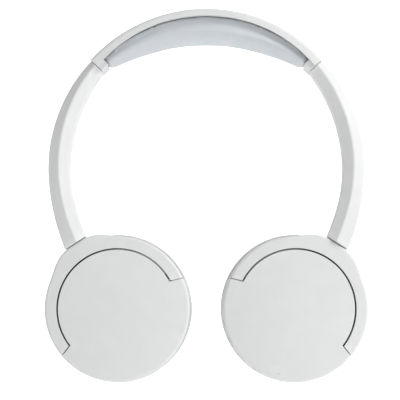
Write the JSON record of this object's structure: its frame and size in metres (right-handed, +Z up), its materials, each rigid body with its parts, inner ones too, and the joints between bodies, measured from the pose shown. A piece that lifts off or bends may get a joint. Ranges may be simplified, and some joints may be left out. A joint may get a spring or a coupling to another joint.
{
  "type": "wireless on-ear headphones",
  "caption": "Wireless on-ear headphones in matt white with round swivelling cups in C-shaped hangers, sliding arms and a padded crescent headband, cups turned flat.",
  "frame": {"origin": "middle of the footprint at the level of the cups' lowest points", "axes": "+Z up to the headband, -Y the way the cups' outer faces look when turned flat, +X the wearer's right side with the controls"},
  "size_m": [0.1684, 0.0398, 0.1923],
  "materials": {
    "acetal": "smooth",
    "board_green": "solder mask",
    "cell_foil": "foil",
    "clear_plastic": "frosted",
    "dark_plastic": "moulded",
    "driver_film": "thin film",
    "ear_leatherette": "soft fine grain",
    "grey_plastic": "moulded",
    "grille_metal": "painted, perforated",
    "magnet_steel": "nickel plated",
    "pad_leatherette": "soft fine grain",
    "screw_steel": "satin",
    "shell_white": "fine satin texture",
    "socket_metal": "stamped",
    "spring_steel": "brushed",
    "tray_white": "fine satin texture"
  },
  "bodies": {
    "headband": {"headband_cover": "shell_white", "band_tray": "tray_white", "spring_band": "spring_steel", "pad_plate": "grey_plastic", "headband_pad": "pad_leatherette", "strip_screws": "screw_steel", "slider_strip_left": "spring_steel", "slider_strip_right": "spring_steel"},
    "left_arm": {"arm_outer_left": "shell_white", "arm_inner_left": "shell_white", "slider_guide_left": "grey_plastic", "detent_leaf_left": "spring_steel", "swivel_bush_left": "acetal", "arm_screw_left": "screw_steel"},
    "right_arm": {"arm_outer_right": "shell_white", "arm_inner_right": "shell_white", "slider_guide_right": "grey_plastic", "detent_leaf_right": "spring_steel", "swivel_bush_right": "acetal", "arm_screw_right": "screw_steel"},
    "left_yoke": {"hanger_left": "shell_white", "hanger_lids_left": "shell_white", "swivel_shaft_left": "screw_steel", "swivel_clip_left": "spring_steel", "tilt_pins_left": "screw_steel"},
    "right_yoke": {"hanger_right": "shell_white", "hanger_lids_right": "shell_white", "swivel_shaft_right": "screw_steel", "swivel_clip_right": "spring_steel", "tilt_pins_right": "screw_steel"},
    "left_cup": {"outer_cover_left": "shell_white", "housing_left": "shell_white", "baffle_left": "dark_plastic", "cup_screws_left": "screw_steel", "driver_frame_left": "dark_plastic", "driver_magnet_left": "magnet_steel", "driver_diaphragm_left": "driver_film", "driver_grille_left": "grille_metal", "pad_ring_left": "dark_plastic", "ear_pad_left": "ear_leatherette", "battery": "cell_foil"},
    "right_cup": {"outer_cover_right": "shell_white", "housing_right": "shell_white", "baffle_right": "dark_plastic", "cup_screws_right": "screw_steel", "driver_frame_right": "dark_plastic", "driver_magnet_right": "magnet_steel", "driver_diaphragm_right": "driver_film", "driver_grille_right": "grille_metal", "pad_ring_right": "dark_plastic", "ear_pad_right": "ear_leatherette", "main_board": "board_green", "side_switches": "dark_plastic", "charging_port": "socket_metal", "status_light": "clear_plastic", "microphone": "socket_metal"},
    "volume_up_key": {"volume_up_button": "shell_white"},
    "play_key": {"play_button": "shell_white"},
    "volume_down_key": {"volume_down_button": "shell_white"},
    "power_key": {"power_button": "shell_white"}
  },
  "joints": [
    {"name": "slide_right", "type": "hinge", "parent": "headband", "child": "right_arm", "pos_m": [-0.15416, -0.0059, 0.02976], "axis": [0, 1, 0], "range_deg": [0, 5.73]},
    {"name": "slide_left", "type": "hinge", "parent": "headband", "child": "left_arm", "pos_m": [0.15416, -0.0059, 0.02976], "axis": [0, -1, 0], "range_deg": [0, 5.73]},
    {"name": "swivel_right", "type": "hinge", "parent": "right_arm", "child": "right_yoke", "pos_m": [0.0458, -0.0059, 0.0384], "axis": [0.5417, 0, 0.8406], "range_deg": [0, 90]},
    {"name": "swivel_left", "type": "hinge", "parent": "left_arm", "child": "left_yoke", "pos_m": [-0.0458, -0.0059, 0.0384], "axis": [0.5417, 0, -0.8406], "range_deg": [0, 90]},
    {"name": "tilt_right", "type": "hinge", "parent": "right_yoke", "child": "right_cup", "pos_m": [0.0458, -0.0059, 0.0384], "axis": [-0.8406, 0, 0.5417], "range_deg": [-5, 5]},
    {"name": "tilt_left", "type": "hinge", "parent": "left_yoke", "child": "left_cup", "pos_m": [-0.0458, -0.0059, 0.0384], "axis": [-0.8406, 0, -0.5417], "range_deg": [-5, 5]},
    {"name": "press_volume_up", "type": "slide", "parent": "right_cup", "child": "volume_up_key", "axis": [0.966, 0, 0.2587], "range_m": [0, 0.0004], "stiffness_N_per_m": 800, "springref_m": -0.001},
    {"name": "press_play", "type": "slide", "parent": "right_cup", "child": "play_key", "axis": [0.8746, 0, 0.4849], "range_m": [0, 0.0004], "stiffness_N_per_m": 800, "springref_m": -0.001},
    {"name": "press_volume_down", "type": "slide", "parent": "right_cup", "child": "volume_down_key", "axis": [0.7311, 0, 0.6823], "range_m": [0, 0.0004], "stiffness_N_per_m": 800, "springref_m": -0.001},
    {"name": "press_power", "type": "slide", "parent": "right_cup", "child": "power_key", "axis": [0.5005, 0, 0.8657], "range_m": [0, 0.0004], "stiffness_N_per_m": 800, "springref_m": -0.001}
  ]
}
